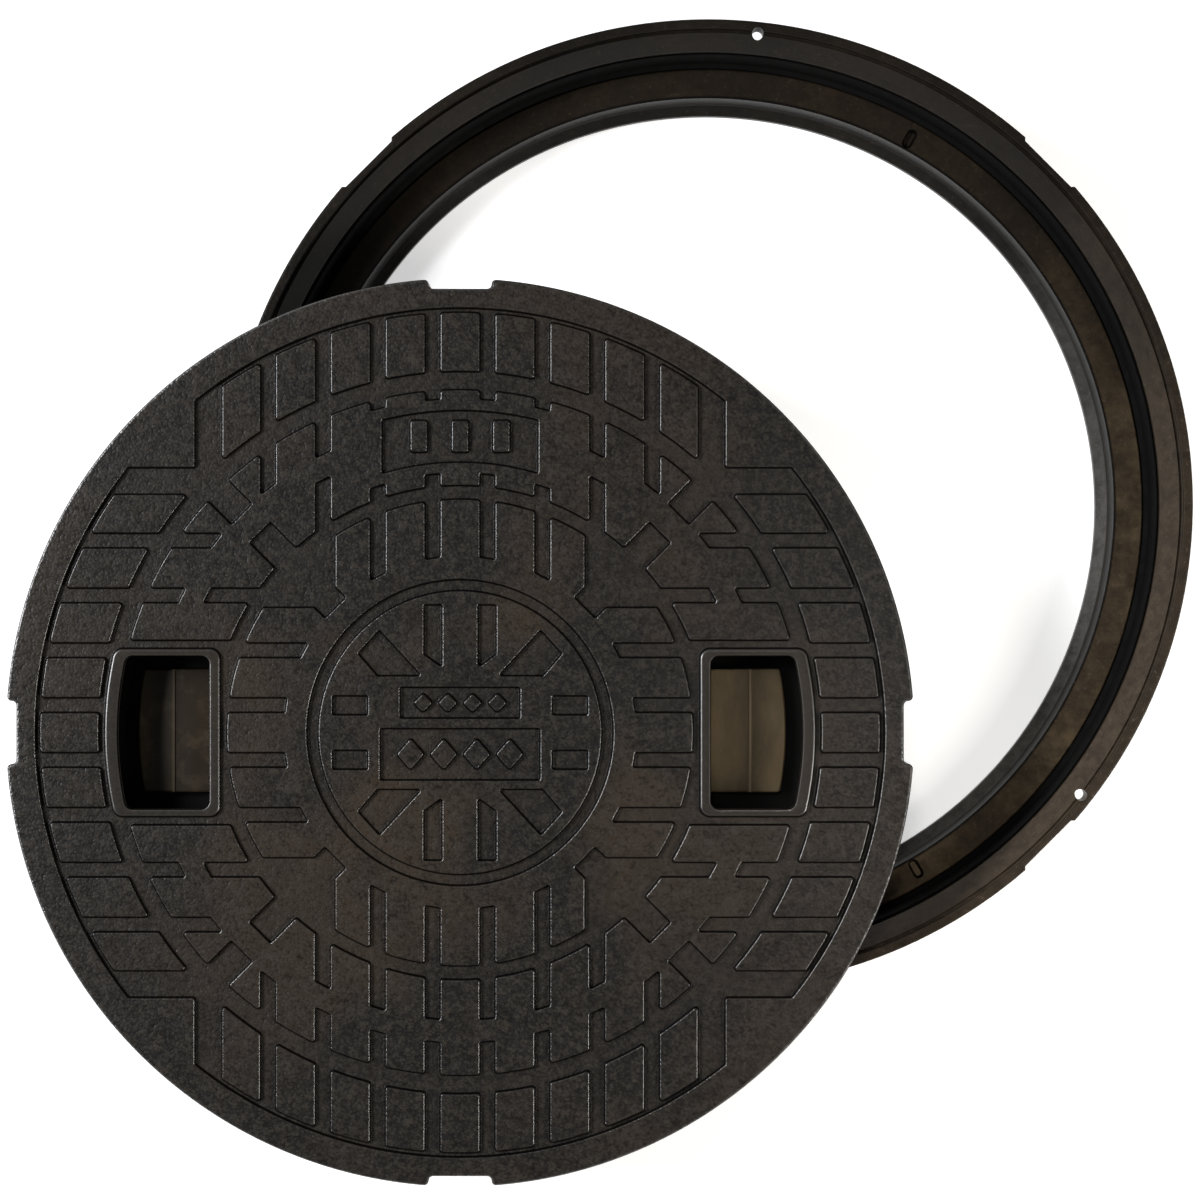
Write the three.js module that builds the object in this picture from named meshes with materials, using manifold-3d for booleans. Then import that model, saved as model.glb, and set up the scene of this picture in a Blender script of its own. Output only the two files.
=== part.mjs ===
// Round moulded inspection cover for a 400 mm clear opening, in millimetres, +Z up.
// The ring frame stands on its spigot. The lid lies flat on the frame's rim, pushed to one side.
// The origin is the middle of the assembly's footprint, on the plane that the frame stands on.
import * as THREE from 'three';
import { mergeVertices } from 'three/addons/utils/BufferGeometryUtils.js';
import Module from 'manifold-3d';

const wasm = await Module();
wasm.setup();

// Driving dimensions
const FRAME_RADIUS = 240;
const FRAME_HEIGHT = 55;
const CLEAR_RADIUS = 200;
const LID_RADIUS = 220.5;
const LID_HEIGHT = 31.5;
const LID_SHIFT_X = 121.5; // from the lid's axis to the frame's axis
const LID_SHIFT_Y = 111.9;
const GAP = 0.3; // between pieces that touch
const RING_SIDES = 48;
const OVERLAP = 0.5; // how far joined solids run into each other
const FAR = 400; // longer than anything that a cutter has to pass

// Frame section
const RIM_GROOVE = { inner: 233.7, outer: 235.3, floor: 52, lip: 53 };
const RECESS_RADIUS = 226;
const RECESS_TOP = 41;
const FLANGE_UNDERSIDE = 42;
const WALL_OUTER = 230;
const LEDGE_TOP = FRAME_HEIGHT - LID_HEIGHT;
const LEDGE_OUTER = 220.8;
const LEDGE_INNER = 206;
const LEDGE_UNDERSIDE = 17;
const SEAL_SEAT = 21;
const SPIGOT_OUTER = 209;
const CHAMFER_TOP = 9;
const CHAMFER_FOOT = 4.5;

// Frame details
const RIM_NOTCH = { length: 32, depth: 2 };
const SCREW_HOLE = { radius: 2.8, ring: 234.4, angles: [84, 204, 322] };
const BOSS_RADIUS = 5.5;
const LEDGE_RECESS = { length: 11, width: 6, depth: 2.5, ring: 212, angles: [61, 180, 300] };
const FLANGE_GROOVE = { inner: 232.5, outer: 237.5, top: 47 };
const FLANGE_RIBS = 24;
const GUSSETS = 24;
const RIB = 2.5;

// Seal ring section: a low foot beside the ledge and a lip up the wall of the recess
const SEAL = { inner: 221.1, outer: RECESS_RADIUS - GAP, lip: 224.4, top: 39 };
const SEAL_FOOT = { edge: 22.8, root: 223.4, top: 24.8 };

// Lid body
const PATTERN_DEPTH = 2.2;
const PLATE = 5; // from the top of the blocks to the plate's underside
const SKIRT = 4.5;
const LID_RIB = 3;
const RING_RIBS = [28, 70, 112, 150, 188];
const LID_SPOKES = 12;
const LID_NOTCH = { half: 15.3, floor: 215, backing: 3.5 };

// Lid pattern: radii of the rings of blocks, and the pitch of the slots that part the blocks
const PITCH = 26.57;
const SLOT = 7.7;
const RIM_BAND = 205.9;
const ROW_1 = { inner: 175.2, outer: 203.3, half: 115.1 };
const CORNER_EDGE = 128.6;
const ROW_2 = { inner: 120, outer: 165.8, outerSlots: 150, innerSlots: 139.6 };
const SHORT_OUTER = 161.4;
const SHORT_INNER = 126.1;
const ROW_3 = { inner: 74.4, outer: 112.8, slots: 85.2, half: 60.3 };
const DIAGONAL = { width: 14.8, outer: 149.5, inner: 137.5 };
const EMBLEM_RADIUS = 68.5;
const LABEL = { inner: 130.7, outer: 156.3, half: 38 };

// Hand pockets in the lid, and the cup under each of them
const POCKET = { inner: 121.5, outer: 165.9, half: 37, corner: 4 };
const LIP = { inner: 116.2, outer: 172.3, half: 40.7, channel: 45 };
const CUP = { inner: 117.5, outer: 178, half: 45, corner: 7, wall: 2.5, floor: 3, foot: 1 };
const SHELF = { outer: 159.5, half: 30.5, corner: 2, top: 10 }; // raised middle of a cup's floor

const plateTop = LID_HEIGHT - PATTERN_DEPTH;
const plateUnderside = LID_HEIGHT - PLATE;
const lidBottom = FRAME_HEIGHT + GAP;
const cutTop = LID_HEIGHT + OVERLAP;

// The lid's notches lie on the axes, so it reaches a little less far than its radius there
const lidReach = Math.sqrt(LID_RADIUS ** 2 - LID_NOTCH.half ** 2);
const lidX = (lidReach - FRAME_RADIUS - LID_SHIFT_X) / 2;
const lidY = (lidReach - FRAME_RADIUS - LID_SHIFT_Y) / 2;
const frameX = lidX + LID_SHIFT_X;
const frameY = lidY + LID_SHIFT_Y;

const radians = (degrees) => degrees * Math.PI / 180;

// A closed geometry as a solid that can be joined and cut
function solid(geometry) {
  geometry.deleteAttribute('normal');
  geometry.deleteAttribute('uv');
  const merged = mergeVertices(geometry);
  return new wasm.Manifold(new wasm.Mesh({
    numProp: 3,
    vertProperties: new Float32Array(merged.attributes.position.array),
    triVerts: new Uint32Array(merged.index.array),
  }));
}

function join(solids) {
  return solids.reduce((whole, piece) => whole.add(piece));
}

function cut(whole, cutters) {
  return cutters.reduce((rest, cutter) => rest.subtract(cutter), whole);
}

// A solid turned from a closed section of [radius, height] points, listed anticlockwise
function turned(section, sides = RING_SIDES) {
  const points = [...section, section[0]].map(([r, z]) => new THREE.Vector2(r, z));
  return solid(new THREE.LatheGeometry(points, sides).rotateX(Math.PI / 2));
}

function ring(inner, outer, bottom, top) {
  return turned([[inner, bottom], [outer, bottom], [outer, top], [inner, top]]);
}

function disc(radius, bottom, top) {
  const geometry = new THREE.CylinderGeometry(radius, radius, top - bottom, RING_SIDES);
  return solid(geometry.rotateX(Math.PI / 2).translate(0, 0, (top + bottom) / 2));
}

function round(radius, x, y, bottom, top, sides = 16) {
  const geometry = new THREE.CylinderGeometry(radius, radius, top - bottom, sides);
  return solid(geometry.rotateX(Math.PI / 2).translate(x, y, (top + bottom) / 2));
}

// A block between two corners, turned about the Z axis
function block(x0, x1, y0, y1, z0, z1, angle = 0) {
  const geometry = new THREE.BoxGeometry(x1 - x0, y1 - y0, z1 - z0);
  geometry.translate((x0 + x1) / 2, (y0 + y1) / 2, (z0 + z1) / 2);
  return solid(geometry.rotateZ(radians(angle)));
}

function prism(shape, bottom, top, curveSegments = 4) {
  const geometry = new THREE.ExtrudeGeometry(shape, {
    depth: top - bottom, bevelEnabled: false, curveSegments,
  });
  return solid(geometry.translate(0, 0, bottom));
}

function polygon(points) {
  return new THREE.Shape(points.map(([x, y]) => new THREE.Vector2(x, y)));
}

// Outline with a straight inner side across the X axis, an outer side that is an arc about
// the origin, and rounded corners
function pocketOutline(inner, outer, half, corner) {
  const bend = Math.asin((half - corner) / (outer - corner));
  const cornerX = (outer - corner) * Math.cos(bend);
  const shape = new THREE.Shape();
  shape.moveTo(inner + corner, -half);
  shape.lineTo(cornerX, -half);
  shape.absarc(cornerX, corner - half, corner, -Math.PI / 2, -bend, false);
  shape.absarc(0, 0, outer, -bend, bend, false);
  shape.absarc(cornerX, half - corner, corner, bend, Math.PI / 2, false);
  shape.lineTo(inner + corner, half);
  shape.absarc(inner + corner, half - corner, corner, Math.PI / 2, Math.PI, false);
  shape.lineTo(inner, corner - half);
  shape.absarc(inner + corner, corner - half, corner, Math.PI, 1.5 * Math.PI, false);
  return shape;
}

// Slots of one row, parallel to a sector's middle line, cut off by two circles about the axis
function slots(offsets, inner, outer, angles, width = SLOT) {
  const bars = angles.flatMap((angle) => offsets.map((offset) => block(
    offset - width / 2, offset + width / 2, 0, FAR, plateTop, cutTop, angle)));
  return join(bars).intersect(ring(inner, outer, plateTop - OVERLAP, cutTop + OVERLAP));
}

function bothSides(steps) {
  return steps.flatMap((step) => [-step * PITCH, step * PITCH]);
}

// The channels that part the raised blocks, from the rim inwards
function channels() {
  const quarters = [0, 90, 180, 270];
  const sides = [90, 270]; // the two sectors with the hand pockets
  const around = (inner, outer) => ring(inner, outer, plateTop, cutTop);
  const gapMiddle = (ROW_1.half + CORNER_EDGE) / 2;
  const gapWidth = CORNER_EDGE - ROW_1.half;
  const corners = quarters.map((angle) => block(
    CORNER_EDGE, FAR, CORNER_EDGE, FAR, plateTop - OVERLAP, cutTop + OVERLAP, angle));
  const row1 = join([
    around(ROW_1.outer, RIM_BAND),
    slots(bothSides([0.5, 1.5, 2.5, 3.5]), ROW_1.inner - OVERLAP, ROW_1.outer + OVERLAP, quarters),
    slots([-gapMiddle, gapMiddle], ROW_1.inner - OVERLAP, RIM_BAND, quarters, gapWidth),
    around(ROW_2.outer, ROW_1.inner),
  ]);
  const outerReach = ROW_2.outer + OVERLAP;
  const innerReach = ROW_2.inner - OVERLAP;
  const row2 = join([
    slots(bothSides([2.5, 3.5]), ROW_2.outerSlots, outerReach, quarters),
    slots(bothSides([0.5, 1.5]), ROW_2.outerSlots, outerReach, [180]),
    slots(bothSides([0.5, 1.5]), SHORT_OUTER, outerReach, [0]),
    slots(bothSides([2.5]), innerReach, ROW_2.innerSlots, quarters),
    slots(bothSides([0.5, 1.5]), innerReach, ROW_2.innerSlots, [180]),
    slots(bothSides([0.5, 1.5]), innerReach, SHORT_INNER, [0]),
    slots([0], DIAGONAL.outer, outerReach, [45, 135, 225, 315], DIAGONAL.width),
    slots([0], innerReach, DIAGONAL.inner, [45, 135, 225, 315], DIAGONAL.width),
    slots([0], LABEL.inner, LABEL.outer, [0], 2 * LABEL.half),
    around(ROW_3.outer, ROW_2.inner),
  ]);
  const beyond = quarters.map((angle) => block(
    ROW_3.half, FAR, ROW_3.half, FAR, plateTop, cutTop, angle));
  const row3 = join([
    slots(bothSides([0.5, 1.5]), ROW_3.slots, ROW_3.outer + OVERLAP, quarters),
    slots([0], ROW_3.slots, ROW_3.outer + OVERLAP, [45, 135, 225, 315], DIAGONAL.width),
    join(beyond).intersect(disc(ROW_3.outer + OVERLAP, plateTop - OVERLAP, cutTop + OVERLAP)),
    around(EMBLEM_RADIUS, ROW_3.inner),
  ]);
  const lips = sides.map((angle) => prism(
    pocketOutline(LIP.inner, LIP.outer, LIP.half, POCKET.corner + 1),
    plateTop - OVERLAP, cutTop + OVERLAP).rotate([0, 0, angle - 90]));
  const lipChannel = (LIP.half + LIP.channel) / 2;
  const besideLips = slots([-lipChannel, lipChannel], ROW_3.outer, ROW_1.inner, sides,
    LIP.channel - LIP.half);
  const opened = cut(join([row1, row2, besideLips]), [...corners, ...lips]);
  return [opened, row3, emblemMarks()];
}

// Generic recessed figure in the middle disc: bars and blades, mirrored four ways,
// with two plain name-plate recesses that hold raised lozenges
function emblemMarks() {
  const quarter = [
    polygon([[8.5, 31.1], [17.7, 37.8], [17.7, 62.2], [8.5, 62.2]]),
    polygon([[39.1, 50], [18, 27.2], [40.2, 27.2], [49.7, 38.3]]),
    polygon([[44.5, 8.3], [62, 8.3], [62, 18.1], [44.5, 18.1]]),
  ];
  const marks = quarter.flatMap((shape) => {
    const first = prism(shape, plateTop, cutTop);
    const mirrored = first.mirror([1, 0, 0]);
    return [first, mirrored, first.rotate([0, 0, 180]), mirrored.rotate([0, 0, 180])];
  });
  const plates = [
    block(-29.2, 29.2, 6.7, 22.2, plateTop, cutTop),
    block(-38.9, 38.9, -23.3, 2.2, plateTop, cutTop),
  ];
  const lozenge = (x, y, width, height) => prism(polygon([
    [x - width, y], [x, y - height], [x + width, y], [x, y + height],
  ]), plateTop - OVERLAP, cutTop + OVERLAP);
  const raised = [
    ...[-18, -6, 6, 18].map((x) => lozenge(x, 14.4, 4.5, 4.5)),
    ...[-24, -8, 8, 24].map((x) => lozenge(x, -10.5, 6.5, 7.5)),
  ];
  return cut(join([...marks, ...plates]), raised);
}

// Three plain raised bars in the recess of the label
function labelBars() {
  const middle = (LABEL.inner + LABEL.outer) / 2;
  return [-20, 0, 20].map((x) => block(
    x - 4, x + 4, middle - 7.5, middle + 7.5, plateTop - OVERLAP, LID_HEIGHT));
}

// Ribs under the plate, left out between the two spokes on either side of each cup
function lidRibs() {
  const ribTop = plateUnderside + OVERLAP;
  const rings = RING_RIBS.map((radius) => ring(
    radius - LID_RIB / 2, radius + LID_RIB / 2, 0, ribTop));
  const spokes = Array.from({ length: LID_SPOKES }, (unused, step) => block(
    RING_RIBS[0], LID_RADIUS - SKIRT + OVERLAP, -LID_RIB / 2, LID_RIB / 2, 0, ribTop,
    step * 360 / LID_SPOKES));
  const apex = LID_RIB / 2 / Math.sin(radians(30));
  const reach = FAR * Math.cos(radians(30));
  const wedge = polygon([[apex, 0], [apex + reach, -FAR / 2], [apex + reach, FAR / 2]]);
  const bay = prism(wedge, -OVERLAP, plateUnderside).intersect(ring(
    RING_RIBS[2] + LID_RIB / 2, RING_RIBS[4] - LID_RIB / 2, -FAR, FAR));
  const cupSpace = [0, 180].map((angle) => bay.rotate([0, 0, angle]));
  return cut(join([...rings, ...spokes]), cupSpace);
}

function lidBody() {
  const plate = disc(LID_RADIUS, plateUnderside, LID_HEIGHT);
  const skirt = ring(LID_RADIUS - SKIRT, LID_RADIUS, 0, plateUnderside + OVERLAP);
  const quarters = [0, 90, 180, 270];
  const backings = quarters.map((angle) => block(
    LID_NOTCH.floor - LID_NOTCH.backing, LID_RADIUS - SKIRT / 2,
    -LID_NOTCH.half - LID_NOTCH.backing, LID_NOTCH.half + LID_NOTCH.backing,
    0, plateUnderside + OVERLAP, angle));
  const notches = quarters.map((angle) => block(
    LID_NOTCH.floor, FAR, -LID_NOTCH.half, LID_NOTCH.half, -OVERLAP, cutTop, angle));
  const pockets = [0, 180].map((angle) => prism(
    pocketOutline(POCKET.inner, POCKET.outer, POCKET.half, POCKET.corner),
    -OVERLAP, cutTop).rotate([0, 0, angle]));
  const moulded = join([plate, skirt, lidRibs(), ...backings]);
  return join([cut(moulded, [...channels(), ...notches, ...pockets]), ...labelBars()]);
}

// Open cup that hangs under a hand pocket and reaches outwards under the lid for the fingers.
// The middle of its floor is a raised shelf, hollow underneath, with a trench round three sides.
function pocketCup() {
  const top = plateUnderside - GAP;
  const { inner, outer, half, corner, wall, floor, foot } = CUP;
  const outside = prism(pocketOutline(inner, outer, half, corner), foot, top);
  const inside = prism(
    pocketOutline(inner + wall, outer - wall, half - wall, corner - wall),
    foot + floor, top + OVERLAP);
  const shelf = prism(
    pocketOutline(inner + OVERLAP, SHELF.outer, SHELF.half, SHELF.corner),
    foot + OVERLAP, SHELF.top);
  const hollow = prism(
    pocketOutline(inner + wall, SHELF.outer - floor, SHELF.half - floor, SHELF.corner / 2),
    -OVERLAP, SHELF.top - floor);
  return outside.subtract(inside).add(shelf).subtract(hollow);
}

function frameSection() {
  return [
    [CLEAR_RADIUS, 0],
    [SPIGOT_OUTER, 0],
    [SPIGOT_OUTER, LEDGE_UNDERSIDE],
    [WALL_OUTER, LEDGE_UNDERSIDE],
    [WALL_OUTER, FLANGE_UNDERSIDE],
    [FRAME_RADIUS, FLANGE_UNDERSIDE],
    [FRAME_RADIUS, FRAME_HEIGHT],
    [RIM_GROOVE.outer, FRAME_HEIGHT],
    [RIM_GROOVE.outer, RIM_GROOVE.floor],
    [RIM_GROOVE.inner, RIM_GROOVE.floor],
    [RIM_GROOVE.inner, RIM_GROOVE.lip],
    [RECESS_RADIUS, RECESS_TOP],
    [RECESS_RADIUS, SEAL_SEAT],
    [LEDGE_OUTER, SEAL_SEAT],
    [LEDGE_OUTER, LEDGE_TOP],
    [LEDGE_INNER, LEDGE_TOP],
    [LEDGE_INNER - 1, CHAMFER_TOP],
    [CLEAR_RADIUS, CHAMFER_FOOT],
  ];
}

function onRing(radius, angle) {
  return [radius * Math.cos(radians(angle)), radius * Math.sin(radians(angle))];
}

// The hollow under the flange, left solid at the ribs and round the screw holes
function flangeHollow() {
  const { inner, outer, top } = FLANGE_GROOVE;
  const ribs = Array.from({ length: FLANGE_RIBS }, (unused, step) => block(
    WALL_OUTER, FRAME_RADIUS, -RIB / 2, RIB / 2, 0, top + OVERLAP,
    step * 360 / FLANGE_RIBS));
  const bosses = SCREW_HOLE.angles.map((angle) => round(
    BOSS_RADIUS, ...onRing(SCREW_HOLE.ring, angle), 0, top + OVERLAP));
  return cut(ring(inner, outer, FLANGE_UNDERSIDE - OVERLAP, top), [...ribs, ...bosses]);
}

// Gussets in the corner between the spigot and the ledge
function frameGussets() {
  const side = polygon([
    [SPIGOT_OUTER - OVERLAP, 0],
    [SPIGOT_OUTER + RIB, 0],
    [WALL_OUTER - OVERLAP, LEDGE_UNDERSIDE - 2],
    [WALL_OUTER - OVERLAP, LEDGE_UNDERSIDE + OVERLAP],
    [SPIGOT_OUTER - OVERLAP, LEDGE_UNDERSIDE + OVERLAP],
  ]);
  return Array.from({ length: GUSSETS }, (unused, step) => {
    const geometry = new THREE.ExtrudeGeometry(side, { depth: RIB, bevelEnabled: false });
    geometry.translate(0, 0, -RIB / 2).rotateX(Math.PI / 2);
    return solid(geometry.rotateZ(radians(step * 360 / GUSSETS)));
  });
}

function frameRing() {
  const rimNotches = [45, 135, 225, 315].map((angle) => block(
    FRAME_RADIUS - RIM_NOTCH.depth, FAR, -RIM_NOTCH.length / 2, RIM_NOTCH.length / 2,
    0, FRAME_HEIGHT + OVERLAP, angle));
  const screwHoles = SCREW_HOLE.angles.map((angle) => round(
    SCREW_HOLE.radius, ...onRing(SCREW_HOLE.ring, angle), 0, FRAME_HEIGHT + OVERLAP));
  const half = (LEDGE_RECESS.length - LEDGE_RECESS.width) / 2;
  const radius = LEDGE_RECESS.width / 2;
  const floor = LEDGE_TOP - LEDGE_RECESS.depth;
  const recesses = LEDGE_RECESS.angles.flatMap((angle) => [
    block(LEDGE_RECESS.ring - half, LEDGE_RECESS.ring + half, -radius, radius,
      floor, LEDGE_TOP + OVERLAP, angle),
    ...[-half, half].map((along) => round(radius, ...onRing(LEDGE_RECESS.ring + along, angle),
      floor, LEDGE_TOP + OVERLAP)),
  ]);
  const body = join([turned(frameSection()), ...frameGussets()]);
  return cut(body, [...rimNotches, ...screwHoles, flangeHollow(), ...recesses]);
}

function sealRing() {
  return turned([
    [SEAL.inner, SEAL_SEAT + GAP],
    [SEAL.outer, SEAL_SEAT + GAP],
    [SEAL.outer, SEAL.top],
    [SEAL.lip, SEAL.top],
    [SEAL_FOOT.root, SEAL_FOOT.top],
    [SEAL.inner, SEAL_FOOT.edge],
  ]);
}

// A finished solid as a named mesh
function part(name, body, material) {
  const mesh = body.getMesh();
  const geometry = new THREE.BufferGeometry();
  geometry.setAttribute('position', new THREE.BufferAttribute(mesh.vertProperties, 3));
  geometry.setIndex(new THREE.BufferAttribute(mesh.triVerts, 1));
  geometry.computeVertexNormals();
  const result = new THREE.Mesh(geometry, material);
  result.name = name;
  return result;
}

const plastic = new THREE.MeshStandardMaterial({ color: 0x3b3936, roughness: 0.55, metalness: 0 });
const framePlastic = new THREE.MeshStandardMaterial({
  color: 0x4a443d, roughness: 0.5, metalness: 0,
});
const cupPlastic = new THREE.MeshStandardMaterial({ color: 0x4d473f, roughness: 0.45, metalness: 0 });
const rubber = new THREE.MeshStandardMaterial({ color: 0x0e0e0e, roughness: 0.85, metalness: 0 });

const frame = new THREE.Group();
frame.position.set(frameX, frameY, 0);
frame.add(part('frame_ring', frameRing(), framePlastic));
frame.add(part('seal_ring', sealRing(), rubber));

const lid = new THREE.Group();
lid.position.set(lidX, lidY, lidBottom);
lid.add(part('lid', lidBody(), plastic));
const rightCup = part('right_pocket_cup', pocketCup(), cupPlastic);
const leftCup = part('left_pocket_cup', pocketCup(), cupPlastic);
leftCup.rotation.z = Math.PI;
lid.add(rightCup);
lid.add(leftCup);

const cover = new THREE.Group();
cover.add(frame);
cover.add(lid);

export default cover;
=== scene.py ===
import math

import bpy
import numpy as np
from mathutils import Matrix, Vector
from mathutils.geometry import delaunay_2d_cdt


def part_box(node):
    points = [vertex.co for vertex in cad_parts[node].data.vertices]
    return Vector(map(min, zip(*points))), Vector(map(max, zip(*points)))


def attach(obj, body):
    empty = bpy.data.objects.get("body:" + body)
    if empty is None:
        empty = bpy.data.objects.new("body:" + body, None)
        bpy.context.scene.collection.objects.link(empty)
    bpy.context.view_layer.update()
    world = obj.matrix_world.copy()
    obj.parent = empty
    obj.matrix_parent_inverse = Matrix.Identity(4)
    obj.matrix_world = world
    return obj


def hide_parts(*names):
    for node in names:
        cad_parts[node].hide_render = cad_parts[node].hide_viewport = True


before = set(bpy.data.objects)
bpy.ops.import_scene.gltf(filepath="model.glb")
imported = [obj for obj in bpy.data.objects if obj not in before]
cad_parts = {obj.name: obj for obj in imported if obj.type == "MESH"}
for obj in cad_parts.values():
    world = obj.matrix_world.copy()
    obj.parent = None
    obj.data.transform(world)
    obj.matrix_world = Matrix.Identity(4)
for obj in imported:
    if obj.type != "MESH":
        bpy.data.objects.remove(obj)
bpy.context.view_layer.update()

# A round moulded inspection cover: the ring frame stands on the ground, and the lid lies on its rim.
# Outlines are in millimetres about the axis of their own piece. The meshes are in metres.
MM = 0.001
SAGITTA = 0.012  # how far a chord may stand off its arc


def axis_of(node):
    low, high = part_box(node)
    return (low.x + high.x) / 2, (low.y + high.y) / 2


FRAME_AXIS = axis_of("frame_ring")
LID_AXIS = axis_of("lid")
LID_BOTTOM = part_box("lid")[0].z
FRAME_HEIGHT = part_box("frame_ring")[1].z / MM
LID_HEIGHT = (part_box("lid")[1].z - LID_BOTTOM) / MM

# Lid
LID_RADIUS = 220.1
PATTERN_DEPTH = 2.2
PLATE = 5
SKIRT_INNER = 215.5
PLATE_TOP = LID_HEIGHT - PATTERN_DEPTH
PLATE_UNDERSIDE = LID_HEIGHT - PLATE
RIB_HALF = 1.5
RING_RIBS = (28, 70, 112, 150, 188)
SPOKE_STEP = 30
NOTCH = {"half": 15.3, "floor": 215, "backing": 3.5}

# Tread pattern, from the rim inwards
PITCH = 26.57
SLOT_HALF = 3.85
RIM_BAND = 205.9
ROW_1 = {"inner": 175.2, "outer": 203.3, "half": 115.1}
CORNER_EDGE = 128.6
ROW_2 = {"inner": 120, "outer": 165.8, "outer_slots": 150, "inner_slots": 139.6}
SHORT_OUTER = 161.4
SHORT_INNER = 126.1
DIAGONAL = {"half": 7.4, "outer": 149.5, "inner": 137.5}
LABEL = {"inner": 130.7, "outer": 156.3, "half": 38}
ROW_3 = {"inner": 74.4, "outer": 112.8, "slots": 85.2, "half": 60.3}
EMBLEM_RADIUS = 68.5
LIP = {"inner": 116.2, "outer": 172.3, "half": 40.7, "corner": 5}
LIP_CHANNEL = 45
POCKET = {"inner": 121.5, "outer": 165.9, "half": 37, "corner": 4}
CUP = {"inner": 117.5, "outer": 178, "half": 45, "corner": 7}
CUP_INSIDE = {"inner": 120, "outer": 175.5, "half": 42.5, "corner": 4.5}
CUP_FOOT = 1
CUP_FLOOR = 4
CUP_TOP = PLATE_UNDERSIDE - 0.3
SHELF = {"inner": 121.2, "outer": 159.5, "half": 30.5, "corner": 2}
SHELF_TOP = 10
SHELF_HOLLOW = {"inner": 123, "outer": 156.5, "half": 27.5, "corner": 1}
SEAM = 141.5
SEAM_MARKS = (-1.0, -0.4, 0.4, 1.0)  # extra points of the shelf's outline, on both sides of the seam
BEAD = {"half": 0.7, "rise": 0.5}
SHELF_FALL = 1.1 / 20  # drop of the shelf for each millimetre away from its seam

# Frame
OPENING = 200
FRAME_RADIUS = 240
GROOVE = {"inner": 233.7, "outer": 235.3, "floor": 52, "lip": 53}
SCREW_RING = 234.4
RECESS_RADIUS = 226
LEDGE_TOP = FRAME_HEIGHT - LID_HEIGHT
LEDGE = {"inner": 206, "outer": 220.8}
CHAMFER = {"outer": 205, "top": 9, "foot": 4.5}
SLOPE_FOOT = 41
FLANGE_UNDERSIDE = 42
WALL_OUTER = 230
LEDGE_UNDERSIDE = 17
SPIGOT_OUTER = 209
SEAL_SEAT = 21
RIM_NOTCH = {"half": 16, "depth": 2}
SCREW_ANGLES = (84, 204, 322)
SCREW_RADIUS = 2.8
BOSS_RADIUS = 5.5
LEDGE_RECESS = {"ring": 212, "half": 2.5, "radius": 3, "depth": 2.5, "draft": 1.6,
                "angles": (61, 180, 300)}
HOLLOW = {"inner": 232.5, "outer": 236, "top": 47, "ribs": 24}
GUSSETS = 24
RIB = 2.5
SEAL = {"inner": 221.2, "outer": 225.6, "gap": 0.3, "foot": 22.8, "top": 38.9}

# Studio, in metres
FLOOR_HALF = 30
FLOOR_DROP = 0.0002  # keeps the floor from meeting the frame's foot face to face
CAMERA_OFFSET = (-0.0537, -0.0477)  # from the frame's axis
CAMERA_HEIGHT = 1.505

SHADE = (0.0020, 0.0018, 0.0016)  # painted on the walls between raised and sunk faces


# ---------------------------------------------------------------- outlines

def arc(radius, start, end, centre=(0, 0)):
    """Points along an arc from start to end, in degrees, both ends included."""
    step = 2 * math.degrees(math.acos(1 - SAGITTA / radius))
    count = max(1, math.ceil(abs(end - start) / step))
    angles = [math.radians(start + (end - start) * i / count) for i in range(count + 1)]
    return [(centre[0] + radius * math.cos(a), centre[1] + radius * math.sin(a)) for a in angles]


def circle(radius, centre=(0, 0)):
    return arc(radius, 0, 360, centre)[:-1]


def turned(loop, degrees):
    c, s = math.cos(math.radians(degrees)), math.sin(math.radians(degrees))
    return [(x * c - y * s, x * s + y * c) for x, y in loop]


def mirrored(loop):
    """The loop reflected in the Y axis, still running the same way round."""
    return [(-x, y) for x, y in reversed(loop)]


def facing(direction, x, y):
    """A point x to the right and y outwards, seen along a direction from the axis."""
    return turned([(x, y)], direction - 90)[0]


def lean(direction, x, radius):
    """Angle of the point x to the right of a direction, on a circle about the axis."""
    return direction - math.degrees(math.asin(x / radius))


def slot_notch(direction, offset, half, radius, closed):
    """A slot across a circle and its two end corners: (first angle, last angle, corners)."""
    points = [facing(direction, offset + side, math.sqrt(closed ** 2 - (offset + side) ** 2))
              for side in (half, -half)]
    return lean(direction, offset + half, radius), lean(direction, offset - half, radius), points


def ring_path(radius, notches, start=0, end=360):
    """An arc run anticlockwise, with its notches followed where they cross it."""
    path = []
    angle = start
    inside = [(a + 360 * math.ceil((start - a) / 360), b - a, points) for a, b, points in notches]
    for first, width, points in sorted(inside, key=lambda notch: notch[0]):
        path += arc(radius, angle, first) + points
        angle = first + width
    path += arc(radius, angle, end)
    return path[:-1] if end - start == 360 else path


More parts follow.
